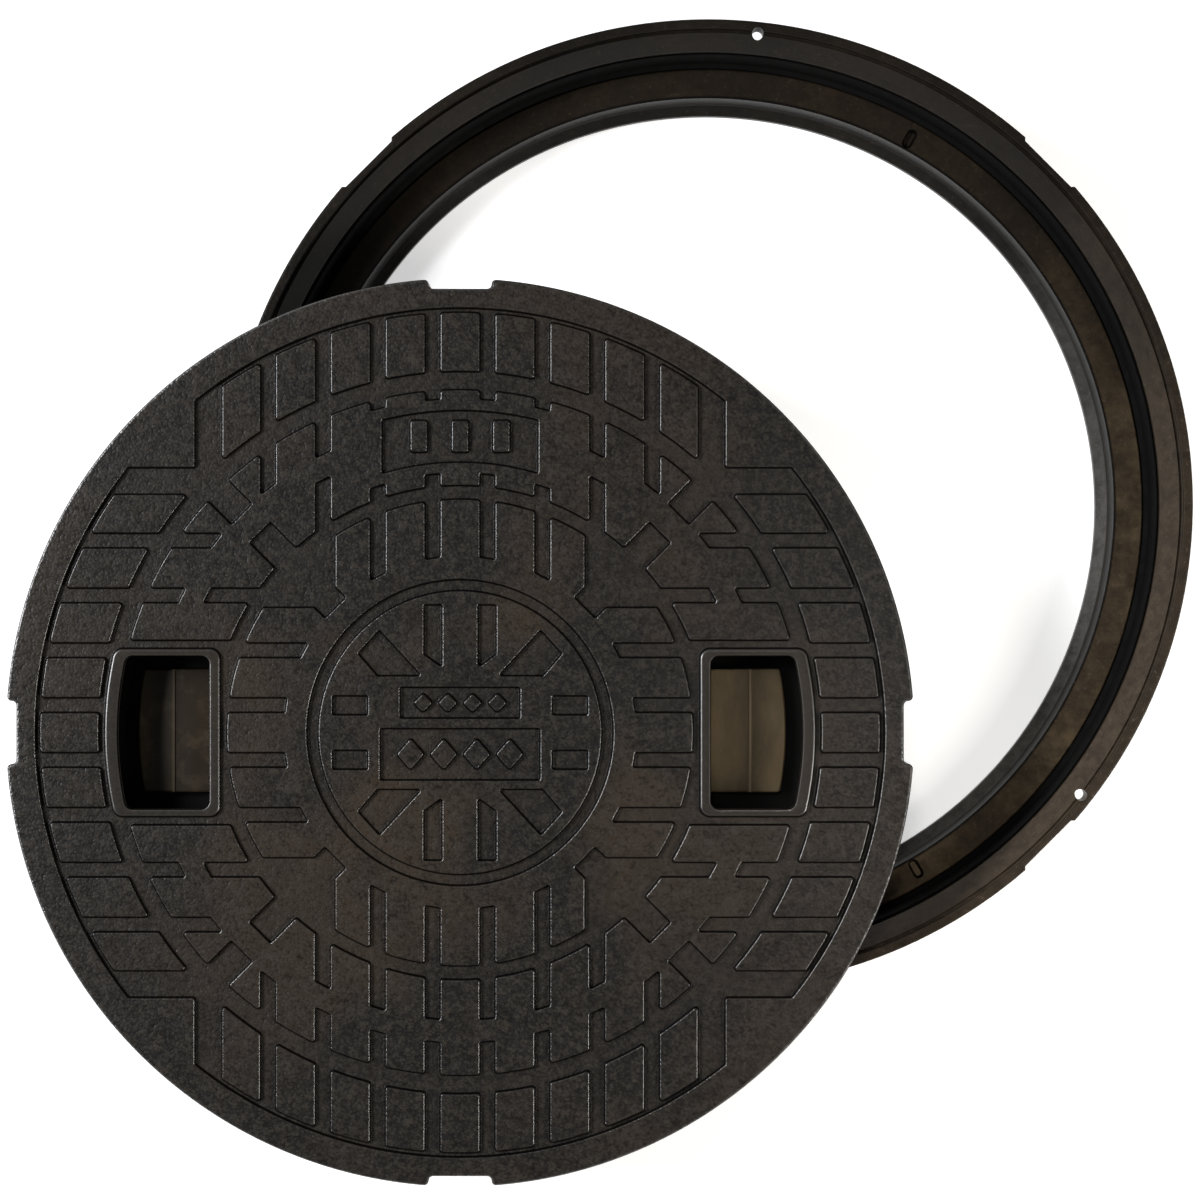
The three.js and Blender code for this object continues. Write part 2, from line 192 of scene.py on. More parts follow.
def soften(loop, radius, least=20):
    """Rounds every corner that turns by more than a few degrees."""
    points = np.array(loop)
    ahead = np.roll(points, -1, axis=0) - points
    behind = np.roll(ahead, 1, axis=0)
    cross = behind[:, 0] * ahead[:, 1] - behind[:, 1] * ahead[:, 0]
    turns = np.abs(np.arctan2(cross, (behind * ahead).sum(1)))
    corners = np.flatnonzero(turns > math.radians(least))
    if not len(corners):
        return loop
    runs = []
    for first, last in zip(corners, np.roll(corners, -1)):
        count = (last - first) % len(points) or len(points)
        run = points[(first + np.arange(count + 1)) % len(points)]
        steps = np.linalg.norm(np.diff(run, axis=0), axis=1)
        runs.append((run, np.concatenate(([0], np.cumsum(steps)))))
    reaches = [min(radius * math.tan(turns[corner] / 2), 0.48 * runs[i - 1][1][-1], 0.48 * runs[i][1][-1])
               for i, corner in enumerate(corners)]
    paths = []
    for (run, along), before, after in zip(runs, reaches, reaches[1:] + reaches[:1]):
        start, end = before, along[-1] - after
        spots = [start, *along[(along > start + 0.05) & (along < end - 0.05)], end]
        paths.append(np.stack([np.interp(spots, along, run[:, k]) for k in (0, 1)], axis=1))
    result = []
    for i, corner in enumerate(corners):
        result += bend(paths[i - 1][-1], points[corner], paths[i][0], turns[corner])
        result += [tuple(point) for point in paths[i][1:-1]]
    return result


def bend(start, corner, end, turn):
    """Points of the arc that leaves one line at start and meets the next at end."""
    steps = max(2, math.ceil(turn / math.radians(24)))
    weight = math.cos(turn / 2)
    result = []
    for t in (i / steps for i in range(steps + 1)):
        shares = np.array(((1 - t) ** 2, 2 * weight * t * (1 - t), t ** 2))
        result.append(tuple(shares @ np.array((start, corner, end)) / shares.sum()))
    return result


def inset(loop, distance):
    """The loop moved to its left, which is into the material."""
    points = np.array(loop)
    before = points - np.roll(points, 1, axis=0)
    before /= np.linalg.norm(before, axis=1)[:, None]
    after = np.roll(before, -1, axis=0)
    first = np.stack((-before[:, 1], before[:, 0]), axis=1)
    second = np.stack((-after[:, 1], after[:, 0]), axis=1)
    middle = first + second
    middle /= np.linalg.norm(middle, axis=1)[:, None]
    share = np.clip((middle * first).sum(1), 0.4, 1)
    return points + middle * (distance / share)[:, None]


def hole(loop):
    """An anticlockwise outline as a hole, with the material on its left."""
    return list(reversed(loop))


def pocket(inner, outer, half, corner, marks=()):
    """Outline with a straight inner side across the X axis, an arc about the origin outside, and round
    corners. Marks are extra points along its two long sides."""
    reach = math.degrees(math.asin((half - corner) / (outer - corner)))
    far = (outer - corner) * math.cos(math.radians(reach))
    return [
        *arc(corner, 180, 270, (inner + corner, corner - half)),
        *[(x, -half) for x in marks],
        *arc(corner, 270, 360 - reach, (far, corner - half)),
        *arc(outer, -reach, reach)[1:-1],
        *arc(corner, reach, 90, (far, half - corner)),
        *[(x, half) for x in reversed(marks)],
        *arc(corner, 90, 180, (inner + corner, half - corner)),
    ]


def rectangle(x0, x1, y0, y1):
    return [(x0, y0), (x1, y0), (x1, y1), (x0, y1)]


def lozenge(x, y, width, height):
    return [(x - width, y), (x, y - height), (x + width, y), (x, y + height)]


# ---------------------------------------------------------------- tread pattern

def row_1_blocks():
    slots = [sign * step * PITCH for step in (0.5, 1.5, 2.5, 3.5) for sign in (-1, 1)]
    edges = sorted([-ROW_1["half"], ROW_1["half"]]
                   + [x - SLOT_HALF for x in slots] + [x + SLOT_HALF for x in slots])
    blocks = []
    for direction in (0, 90, 180, 270):
        for left, right in zip(edges[::2], edges[1::2]):
            ends = [lean(direction, x, radius) for radius in (ROW_1["outer"], ROW_1["inner"])
                    for x in (right, left)]
            blocks.append(arc(ROW_1["outer"], ends[0], ends[1]) + arc(ROW_1["inner"], ends[3], ends[2]))
    return blocks


def row_2_half(up, labelled):
    """Half of the second ring of blocks, between the channels beside the two pocket lips."""
    outer, inner = [], []
    right, left = up - 90, up + 90

    def slot(direction, offset, ends, radius, closed, half=SLOT_HALF):
        ends.append(slot_notch(direction, offset, half, radius, closed))

    for sign in (-1, 1):
        for step in (0.5, 1.5, 2.5, 3.5):
            short = labelled and step < 2
            offset = sign * step * PITCH
            slot(up, offset, outer, ROW_2["outer"], SHORT_OUTER if short else ROW_2["outer_slots"])
            if step < 3:
                slot(up, offset, inner, ROW_2["inner"], SHORT_INNER if short else ROW_2["inner_slots"])
        side = left if sign > 0 else right
        slot(side, sign * 2.5 * PITCH, outer, ROW_2["outer"], ROW_2["outer_slots"])
        slot(side, sign * 3.5 * PITCH, outer, ROW_2["outer"], ROW_2["outer_slots"])
        slot(side, sign * 2.5 * PITCH, inner, ROW_2["inner"], ROW_2["inner_slots"])
        slot(up + 45 * sign, 0, outer, ROW_2["outer"], DIAGONAL["outer"], DIAGONAL["half"])
        slot(up + 45 * sign, 0, inner, ROW_2["inner"], DIAGONAL["inner"], DIAGONAL["half"])
    outer_end = math.degrees(math.asin(LIP_CHANNEL / ROW_2["outer"]))
    inner_end = math.degrees(math.asin(LIP_CHANNEL / ROW_2["inner"]))
    outside = ring_path(ROW_2["outer"], outer, right + outer_end, left - outer_end)
    inside = ring_path(ROW_2["inner"], inner, right + inner_end, left - inner_end)
    return outside + list(reversed(inside))


def row_3_ring():
    """The inner ring of blocks, joined inside its slots, with a flared channel at each diagonal."""
    radius, half, slots = ROW_3["outer"], ROW_3["half"], ROW_3["slots"]
    notches = []
    for direction in (0, 90, 180, 270):
        for offset in (-1.5 * PITCH, -0.5 * PITCH, 0.5 * PITCH, 1.5 * PITCH):
            notches.append(slot_notch(direction, offset, SLOT_HALF, radius, slots))
        edge = math.degrees(math.asin(half / radius))
        mouth = half + DIAGONAL["half"] * math.sqrt(2)
        flare = [(mouth, half), facing(45, DIAGONAL["half"], slots), facing(45, -DIAGONAL["half"], slots),
                 (half, mouth)]
        notches.append((direction + edge, direction + 90 - edge, turned(flare, direction)))
    return ring_path(radius, notches)


def rim_inside():
    """Inner edge of the rim band, with the four corner plateaus that run into the pattern."""
    edge = math.degrees(math.asin(CORNER_EDGE / RIM_BAND))
    notches = [(direction + edge, direction + 90 - edge, turned([(CORNER_EDGE, CORNER_EDGE)], direction))
               for direction in (0, 90, 180, 270)]
    return ring_path(RIM_BAND, notches)


def label_recess():
    outer = [lean(90, x, LABEL["outer"]) for x in (LABEL["half"], -LABEL["half"])]
    inner = [lean(90, x, LABEL["inner"]) for x in (-LABEL["half"], LABEL["half"])]
    return arc(LABEL["outer"], *outer) + arc(LABEL["inner"], *inner)


def label_marks():
    """Plain raised bars where a size would be moulded."""
    middle = (LABEL["inner"] + LABEL["outer"]) / 2
    return [rectangle(x - 4, x + 4, middle - 7.5, middle + 7.5) for x in (-20, 0, 20)]


def emblem_recesses():
    """A generic figure of bars and blades, mirrored four ways, and two plain name plates."""
    quarter = [
        [(8.5, 31.1), (17.7, 37.8), (17.7, 62.2), (8.5, 62.2)],
        [(18, 27.2), (40.2, 27.2), (49.7, 38.3), (39.1, 50)],
        rectangle(44.5, 62, 8.3, 18.1),
    ]
    both = quarter + [mirrored(loop) for loop in quarter]
    plates = [rectangle(-29.2, 29.2, 6.7, 22.2), rectangle(-38.9, 38.9, -23.3, 2.2)]
    return both + [turned(loop, 180) for loop in both] + plates


def emblem_marks():
    return ([lozenge(x, 14.4, 4.5, 4.5) for x in (-18, -6, 6, 18)]
            + [lozenge(x, -10.5, 6.5, 7.5) for x in (-24, -8, 8, 24)])


def pattern_loops():
    """Every edge between raised blocks and channels, with the raised side on its left."""
    raised = [*row_1_blocks(), row_2_half(90, True), row_2_half(270, False), row_3_ring(),
              circle(EMBLEM_RADIUS), *label_marks(), *emblem_marks()]
    sunk = [rim_inside(), circle(ROW_3["inner"]), label_recess(), *emblem_recesses()]
    return ([soften(loop, 1.1) for loop in raised]
            + [soften(hole(loop), 1.1) for loop in sunk])


def lid_outline():
    half, floor = NOTCH["half"], NOTCH["floor"]
    reach = math.degrees(math.asin(half / LID_RADIUS))
    notches = [(direction - reach, direction + reach, turned([(floor, -half), (floor, half)], direction))
               for direction in (90, 180, 270, 360)]
    return soften(ring_path(LID_RADIUS, notches, 45, 405)[:-1], 2.2)


def rib_cell(inner, outer, start, end, backed=()):
    """The gap between two ring ribs and two spokes. A backed spoke carries the wall behind a notch."""
    loop = [facing(start, -RIB_HALF, math.sqrt(inner ** 2 - RIB_HALF ** 2))]
    near, wide = NOTCH["floor"] - NOTCH["backing"], NOTCH["half"] + NOTCH["backing"]
    first, last = RIB_HALF, RIB_HALF
    if start in backed:
        loop += [facing(start, -RIB_HALF, near), facing(start, -wide, near)]
        first = wide
    if end in backed:
        last = wide
    loop += arc(outer, lean(start, -first, outer), lean(end, last, outer))
    if end in backed:
        loop += [facing(end, wide, near), facing(end, RIB_HALF, near)]
    return loop + arc(inner, lean(end, RIB_HALF, inner), lean(start, -RIB_HALF, inner))[:-1]


def rib_cells():
    every = range(0, 360, SPOKE_STEP)
    clear = [angle for angle in every if 30 <= angle < 150 or 210 <= angle < 330]
    cells = [circle(RING_RIBS[0] - RIB_HALF)]
    for inner, outer in zip(RING_RIBS, RING_RIBS[1:]):
        angles = every if outer <= 112 else clear
        cells += [rib_cell(inner + RIB_HALF, outer - RIB_HALF, a, a + SPOKE_STEP) for a in angles]
    cells += [rib_cell(RING_RIBS[2] + RIB_HALF, RING_RIBS[4] - RIB_HALF, a, a + 2 * SPOKE_STEP)
              for a in (-30, 150)]
    cells += [rib_cell(RING_RIBS[4] + RIB_HALF, SKIRT_INNER, a, a + SPOKE_STEP, (0, 90, 180, 270, 360))
              for a in every]
    return [soften(hole(cell), 2) for cell in cells]


# ---------------------------------------------------------------- meshes

class Shell:
    """Points and faces of one closed mesh, in millimetres about its own axis."""

    def __init__(self):
        self.points = []
        self.faces = []

    def ring(self, loop, height):
        first = len(self.points)
        rise = height if callable(height) else lambda x: height
        self.points += [(x, y, rise(x)) for x, y in loop]
        return list(range(first, len(self.points)))

    def wall(self, loop, levels):
        """Rings of the loop at (inset, height) levels from low to high, joined by quads."""
        rings = [self.ring(inset(loop, distance), height) for distance, height in levels]
        for low, high in zip(rings, rings[1:]):
            for i, j in zip(range(len(low)), [*range(1, len(low)), 0]):
                self.faces.append((low[i], low[j], high[j], high[i]))
        return rings[0], rings[-1]

    def fill(self, rings, keep, up=True, creases=()):
        """Flat faces between rings, wherever keep says so of how many rings are around them."""
        used = [index for ring in rings for index in ring]
        place = {index: i for i, index in enumerate(used)}
        flat = [Vector(self.points[index][:2]) for index in used]
        outlines = []
        for ring in rings:
            loop = [place[index] for index in ring]
            area = sum(flat[a].cross(flat[b]) for a, b in zip(loop, loop[1:] + loop[:1]))
            outlines.append(loop if area > 0 else loop[::-1])
        edges = [(place[a], place[b]) for a, b in creases]
        found = delaunay_2d_cdt(flat, edges, outlines, 1, 1e-7)
        back = [used[ids[0]] for ids in found[3]]
        for face, around in zip(found[2], found[5]):
            if not keep(len(around)):
                continue
            a, b, c = (found[0][i] for i in face)
            upward = (b - a).cross(c - a) > 0
            indices = tuple(back[i] for i in face)
            self.faces.append(indices if upward == up else indices[::-1])

    def build(self, name, axis, bottom, smooth=32):
        """The mesh as a shaded object in metres, stood on its own axis."""
        mesh = bpy.data.meshes.new(name)
        verts = [(axis[0] + x * MM, axis[1] + y * MM, bottom + z * MM) for x, y, z in self.points]
        mesh.from_pydata(verts, [], self.faces)
        mesh.validate()
        piece = bpy.data.objects.new(name, mesh)
        bpy.context.scene.collection.objects.link(piece)
        return finished(piece, smooth)


def finished(piece, smooth=32):
    """Smooth shading that keeps flat faces flat and sharp edges sharp."""
    piece.data.shade_smooth()
    piece.data.set_sharp_from_angle(angle=math.radians(smooth))
    weighted = piece.modifiers.new("even_shading", "WEIGHTED_NORMAL")
    weighted.keep_sharp = True
    weighted.weight = 80
    return piece


def odd(depth):
    return depth % 2 == 1


def lid_piece():
    shell = Shell()
    top = LID_HEIGHT
    block_levels = [(-1.05, PLATE_TOP), (-0.75, PLATE_TOP + 0.12), (-0.55, PLATE_TOP + 0.4),
                    (-0.1, top - 0.75), (0.05, top - 0.38), (0.28, top - 0.12), (0.65, top)]
    pocket_levels = [(0.5, PLATE_UNDERSIDE), (0.12, PLATE_UNDERSIDE + 0.15), (0, PLATE_UNDERSIDE + 0.5),
                     (0, top - 1.3), (0.15, top - 0.7), (0.5, top - 0.2), (1.1, top)]
    rim_levels = [(0.8, 0), (0.22, 0.22), (0, 0.8), (0, top - 1.5), (0.2, top - 0.8), (0.65, top - 0.25),
                  (1.5, top)]
    cell_levels = [(0.6, 0), (0.18, 0.18), (0, 0.6), (-0.35, PLATE_UNDERSIDE - 1.1),
                   (-0.6, PLATE_UNDERSIDE - 0.35), (-1.3, PLATE_UNDERSIDE)]
    lip_levels = [(-0.85, PLATE_TOP), (-0.5, PLATE_TOP + 0.12), (-0.32, PLATE_TOP + 0.45),
                  (-0.05, top - 1.1), (0.2, top - 0.6), (0.65, top - 0.22), (1.4, top)]
    blocks = [shell.wall(loop, block_levels) for loop in pattern_loops()]
    blocks += [shell.wall(soften(turned(pocket(**LIP), angle), 1.1), lip_levels) for angle in (0, 180)]
    outline = shell.wall(lid_outline(), rim_levels)
    pockets = [shell.wall(soften(hole(turned(pocket(**POCKET), angle)), 1), pocket_levels)
               for angle in (0, 180)]
    cells = [shell.wall(cell, cell_levels) for cell in rib_cells()]
    shell.fill([foot for foot, _ in blocks], odd)
    shell.fill([head for _, head in [*blocks, *pockets, outline]], odd)
    shell.fill([outline[0], *[foot for foot, _ in cells]], odd, up=False)
    shell.fill([head for _, head in cells] + [foot for foot, _ in pockets], odd, up=False)
    return shell.build("lid_moulding", LID_AXIS, LID_BOTTOM)


def cup_piece(name, angle):
    """A cup with a trench round a raised shelf, which falls both ways from a seam along its middle."""
    shell = Shell()
    seam_lines = [SEAM + offset for offset in SEAM_MARKS]

    def shelf_top(drop):
        def height(x):
            away = abs(x - SEAM)
            bead = BEAD["rise"] if away < BEAD["half"] else 0
            return SHELF_TOP - drop - SHELF_FALL * away + bead
        return height

    outer = shell.wall(pocket(**CUP), [(1.4, CUP_FOOT), (0.4, CUP_FOOT + 0.35), (0, CUP_FOOT + 1.3),
                                       (0, CUP_TOP - 0.4), (0.4, CUP_TOP)])
    inner = shell.wall(hole(pocket(**CUP_INSIDE)), [(-0.5, CUP_FLOOR), (-0.15, CUP_FLOOR + 0.15),
                                                    (0, CUP_FLOOR + 0.5), (0, CUP_TOP - 0.4), (0.4, CUP_TOP)])
    shelf = shell.wall(pocket(**SHELF, marks=seam_lines), [
        (-0.5, CUP_FLOOR), (-0.15, CUP_FLOOR + 0.15), (0, CUP_FLOOR + 0.5), (0.1, shelf_top(1.2)),
        (0.3, shelf_top(0.5)), (0.75, shelf_top(0.12)), (1.3, shelf_top(0))])
    hollow = shell.wall(hole(pocket(**SHELF_HOLLOW)), [(0.4, CUP_FOOT), (0, CUP_FOOT + 0.4),
                                                       (0, 6.2), (-0.3, 6.7), (-0.9, 7)])
    shell.fill([outer[1], inner[1]], odd)
    shell.fill([inner[0], shelf[0]], odd)
    shell.fill([outer[0], hollow[0]], odd, up=False)
    shell.fill([hollow[1]], odd, up=False)
    near = [i for i in shelf[1] if any(abs(shell.points[i][0] - x) < 0.01 for x in seam_lines)]
    creases = [(a, b) for a in near for b in near
               if abs(shell.points[a][0] - shell.points[b][0]) < 0.01
               and shell.points[a][1] < 0 < shell.points[b][1]]
    shell.fill([shelf[1]], odd, creases=creases)
    shell.points = [(*turned([(x, y)], angle)[0], z) for x, y, z in shell.points]
    return shell.build(name, LID_AXIS, LID_BOTTOM)


def rounded_section(corners):
    """A closed section with each ((radius, height), rounding) corner turned into an arc."""
    result = []
    for i, (point, radius) in enumerate(corners):
        before, after = np.array(corners[i - 1][0]), np.array(corners[(i + 1) % len(corners)][0])
        point = np.array(point)
        p, q = point - before, after - point
        turn = abs(math.atan2(p[0] * q[1] - p[1] * q[0], p @ q))
        lengths = np.linalg.norm(p), np.linalg.norm(q)
        reach = min(radius * math.tan(turn / 2), 0.45 * min(lengths))
        result += bend(point - p * reach / lengths[0], point, point + q * reach / lengths[1], turn)
    return result


def section_frame():
    """Frame section as (radius, height), anticlockwise."""
    return rounded_section([
        ((OPENING, 0), 0.6), ((SPIGOT_OUTER, 0), 0.8), ((SPIGOT_OUTER, LEDGE_UNDERSIDE), 1.5),
        ((WALL_OUTER, LEDGE_UNDERSIDE), 1.5), ((WALL_OUTER, FLANGE_UNDERSIDE), 1.5),
        ((FRAME_RADIUS, FLANGE_UNDERSIDE), 0.8), ((FRAME_RADIUS, FRAME_HEIGHT), 1.2),
        ((GROOVE["outer"], FRAME_HEIGHT), 0.5), ((GROOVE["outer"], GROOVE["floor"]), 0.3),
        ((GROOVE["inner"], GROOVE["floor"]), 0.3), ((GROOVE["inner"], GROOVE["lip"]), 0.3),
        ((RECESS_RADIUS, SLOPE_FOOT), 2.5), ((RECESS_RADIUS, SEAL_SEAT), 0.8),
        ((LEDGE["outer"], SEAL_SEAT), 0.8), ((LEDGE["outer"], LEDGE_TOP), 1.4),
        ((LEDGE["inner"], LEDGE_TOP), 0.4), ((CHAMFER["outer"], CHAMFER["top"]), 1.0),
        ((OPENING, CHAMFER["foot"]), 1.2),
    ])


def revolved(section, angles, shift=lambda radius, angle: radius):
    """A shell turned from a closed anticlockwise section, with a column of points at each angle."""
    shell = Shell()
    for angle in angles:
        c, s = math.cos(math.radians(angle)), math.sin(math.radians(angle))
        for radius, height in section:
            r = shift(radius, angle)
            shell.points.append((r * c, r * s, height))
    count = len(section)
    for i in range(len(angles)):
        a, b = i * count, (i + 1) % len(angles) * count
        for j in range(count):
            k = (j + 1) % count
            shell.faces.append((a + j, b + j, b + k, a + k))
    return shell


def prism(shell, loop, low, high, draft=0):
    """Adds a closed solid to a shell: straight-sided, or narrower at its foot by the draft."""
    bottom, top = shell.wall(loop, [(draft, low), (0, high)])
    shell.faces.append(tuple(reversed(bottom)))
    shell.faces.append(tuple(top))


def frame_cutters():
    shell = Shell()
    step = 360 / HOLLOW["ribs"]
    boss = math.degrees(math.asin(BOSS_RADIUS / SCREW_RING))
    rib = math.degrees(math.asin(RIB / 2 / SCREW_RING))
    for i in range(HOLLOW["ribs"]):
        spans = [(i * step + rib, (i + 1) * step - rib)]
        for angle in SCREW_ANGLES:
            if spans[0][0] < angle < spans[0][1]:
                spans = [(spans[0][0], angle - boss), (angle + boss, spans[0][1])]
        for start, end in spans:
            loop = arc(HOLLOW["outer"], start, end) + arc(HOLLOW["inner"], end, start)
            prism(shell, loop, FLANGE_UNDERSIDE - 1, HOLLOW["top"])
    for angle in SCREW_ANGLES:
        centre = turned([(SCREW_RING, 0)], angle)[0]
        prism(shell, circle(SCREW_RADIUS, centre), 30, FRAME_HEIGHT + 5)
    for angle in LEDGE_RECESS["angles"]:
        ring, half, radius = LEDGE_RECESS["ring"], LEDGE_RECESS["half"], LEDGE_RECESS["radius"]
        loop = arc(radius, -90, 90, (ring + half, 0)) + arc(radius, 90, 270, (ring - half, 0))
        prism(shell, turned(loop, angle), LEDGE_TOP - LEDGE_RECESS["depth"], LEDGE_TOP + 0.5,
              LEDGE_RECESS["draft"])
    return shell


def frame_gussets():
    """Upright wedges in the corner between the spigot and the ledge."""
    shell = Shell()
    side = [(SPIGOT_OUTER - 0.5, 0.4), (SPIGOT_OUTER + RIB, 0.4), (WALL_OUTER - 0.6, LEDGE_UNDERSIDE - 2),
            (WALL_OUTER - 0.6, LEDGE_UNDERSIDE + 0.5), (SPIGOT_OUTER - 0.5, LEDGE_UNDERSIDE + 0.5)]
    count = len(side)
    for i in range(GUSSETS):
        first = len(shell.points)
        for y in (-RIB / 2, RIB / 2):
            for r, z in side:
                shell.points.append((*turned([(r, y)], i * 360 / GUSSETS)[0], z))
        near = [first + j for j in range(count)]
        far = [first + count + j for j in range(count)]
        shell.faces += [tuple(near), tuple(reversed(far))]
        for j in range(count):
            k = (j + 1) % count
            shell.faces.append((near[k], near[j], far[j], far[k]))
    return shell


def combined(piece, other, operation):
    """The piece with another closed mesh added to it or cut out of it."""
    step = piece.modifiers.new("step", "BOOLEAN")
    step.operation = operation
    step.solver = "EXACT"
    step.object = other
    depsgraph = bpy.context.evaluated_depsgraph_get()
    mesh = bpy.data.meshes.new_from_object(piece.evaluated_get(depsgraph))
    piece.modifiers.clear()
    piece.data = mesh
    bpy.data.objects.remove(other)
    return piece


def bare(shell, name):
    mesh = bpy.data.meshes.new(name)
    verts = [(FRAME_AXIS[0] + x * MM, FRAME_AXIS[1] + y * MM, z * MM) for x, y, z in shell.points]
    mesh.from_pydata(verts, [], shell.faces)
    piece = bpy.data.objects.new(name, mesh)
    bpy.context.scene.collection.objects.link(piece)
    return piece


def frame_piece():
    edge = math.degrees(math.atan(RIM_NOTCH["half"] / (FRAME_RADIUS - RIM_NOTCH["depth"])))
    corners = (45, 135, 225, 315)
    angles = set(np.arange(0, 360, 1.5))
    for corner in corners:
        angles |= {corner + sign * (edge + extra) for sign in (-1, 1) for extra in (0, 0.15, 0.3)}

    def notched(radius, angle):
        """Moves the outer side of the rim in to the flat floor of a notch."""
        away = min(abs(angle - corner) for corner in corners)
        if radius < 236.5 or away > edge + 0.2:
            return radius
        flat = (FRAME_RADIUS - RIM_NOTCH["depth"]) / math.cos(math.radians(away))
        share = 0.5 if away > edge + 0.1 else 1
        return radius - (FRAME_RADIUS - flat) * share

    shell = revolved(section_frame(), sorted(angles), notched)
    piece = bare(shell, "frame_moulding")
    piece = combined(piece, bare(frame_gussets(), "gussets"), "UNION")
    piece = combined(piece, bare(frame_cutters(), "cutters"), "DIFFERENCE")
    return finished(piece, 28)


def seal_piece():
    """A low foot on the seat, with a thin lip up the wall."""
    bottom = SEAL_SEAT + SEAL["gap"]
    section = rounded_section([
        ((SEAL["inner"], bottom), 0.5), ((SEAL["outer"], bottom), 0.5), ((SEAL["outer"], SEAL["top"]), 0.4),
        ((224.4, SEAL["top"]), 0.5), ((223.4, 24.9), 0.9), ((SEAL["inner"], SEAL["foot"]), 0.5),
    ])
    shell = revolved(section, list(np.arange(0, 360, 1.5)))
    return shell.build("seal_rubber", FRAME_AXIS, 0, 40)


# ---------------------------------------------------------------- materials

class Nodes:
    """Short names for building one material's node tree."""

    def __init__(self, name):
        self.material = bpy.data.materials.new(name)
        self.material.use_nodes = True
        self.tree = self.material.node_tree
        self.shader = self.tree.nodes["Principled BSDF"]
        self.place = self.add("ShaderNodeTexCoord").outputs["Object"]

    def add(self, kind, links=None, **values):
        node = self.tree.nodes.new(kind)
        for key, value in values.items():
            setattr(node, key, value)
        for socket, value in (links or {}).items():
            self.put(node, socket, value)
        return node

    def put(self, node, socket, value):
        if isinstance(value, bpy.types.NodeSocket):
            self.tree.links.new(value, node.inputs[socket])
        else:
            node.inputs[socket].default_value = value

    def noise(self, scale, detail=3, rough=0.55, stretch=None):
        place = self.place
        if stretch:
            place = self.add("ShaderNodeMapping", {"Vector": self.place, "Scale": stretch}).outputs[0]
        return self.add("ShaderNodeTexNoise", {"Vector": place, "Scale": scale, "Detail": detail,
                                               "Roughness": rough}).outputs["Fac"]

    def cells(self, scale, place):
        links = {"Vector": place, "Scale": scale, "Randomness": 1.0}
        return self.add("ShaderNodeTexVoronoi", links).outputs["Distance"]

    def math(self, operation, first, second=0.0):
        return self.add("ShaderNodeMath", {0: first, 1: second}, operation=operation).outputs[0]

    def times(self, first, *others):
        """The product of masks or numbers, the first of which is a mask."""
        for other in others:
            first = self.math("MULTIPLY", first, other)
        return first

    def range(self, value, low, high, to_low=0.0, to_high=1.0):
        links = {"Value": value, "From Min": low, "From Max": high, "To Min": to_low, "To Max": to_high}
        return self.add("ShaderNodeMapRange", links).outputs["Result"]

    def between(self, value, rise, fall):
        """A mask that rises over one stretch of a value and falls over another."""
        return self.times(self.range(value, *rise), self.range(value, *fall))

    def mix(self, share, first, second):
        node = self.add("ShaderNodeMix", data_type="RGBA")
        for index, value in ((0, share), (6, first), (7, second)):
            self.put(node, index, (*value, 1) if isinstance(value, tuple) else value)
        return node.outputs[2]

    def blend(self, share, first, second):
        """A number between two others, as mix is for colours."""
        return self.add("ShaderNodeMix", {0: share, 2: first, 3: second}).outputs[0]

    def bump(self, height, distance, strength=1.0, before=None):
        links = {"Height": height, "Distance": distance, "Strength": strength}
        if before is not None:
            links["Normal"] = before
        return self.add("ShaderNodeBump", links).outputs["Normal"]

    def height_above(self, bottom):
        """Height of the surface over a level, in millimetres."""
        z = self.add("ShaderNodeSeparateXYZ", {0: self.place}).outputs["Z"]
        return self.math("MULTIPLY", self.math("SUBTRACT", z, bottom), 1 / MM)

    def radius_about(self, axis):
        """Distance of the surface from an upright axis, in millimetres."""
        shifted = self.add("ShaderNodeVectorMath", {0: self.place, 1: (axis[0], axis[1], 0)},
                           operation="SUBTRACT").outputs[0]
        flat = self.add("ShaderNodeVectorMath", {0: shifted, 1: (1, 1, 0)}, operation="MULTIPLY").outputs[0]
        length = self.add("ShaderNodeVectorMath", {0: flat}, operation="LENGTH").outputs["Value"]
        return self.math("MULTIPLY", length, 1 / MM)

    def done(self, colour, roughness, normal):
        self.put(self.shader, "Base Color", colour)
        self.put(self.shader, "Roughness", roughness)
        self.put(self.shader, "Normal", normal)
        return self.material


def leather_grain(n, scale=760):
    """Pebbled mould grain: rounded cells of uneven size, with creases between them."""
    drift = n.add("ShaderNodeTexNoise", {"Vector": n.place, "Scale": scale * 0.4, "Detail": 1.0})
    away = n.add("ShaderNodeVectorMath", {0: drift.outputs["Color"], 1: (0.5, 0.5, 0.5)},
                 operation="SUBTRACT").outputs[0]
    small = n.add("ShaderNodeVectorMath", {0: away, "Scale": 1.6 / scale}, operation="SCALE").outputs[0]
    bent = n.add("ShaderNodeVectorMath", {0: n.place, 1: small}, operation="ADD").outputs[0]
    cell = n.cells(scale, bent)
    pebble = n.math("SUBTRACT", 1.0, n.times(cell, cell))
    return n.math("ADD", n.times(pebble, 0.8), n.times(drift.outputs["Fac"], 0.9))


def side_of(n, axis, toward=(1, 0)):
    """Metres from an upright axis, measured to the right or along another level direction."""
    place = n.add("ShaderNodeVectorMath", {0: n.place, 1: (*axis, 0)}, operation="SUBTRACT").outputs[0]
    along = n.add("ShaderNodeVectorMath", {0: place, 1: (*toward, 0)}, operation="DOT_PRODUCT")
    return along.outputs["Value"]


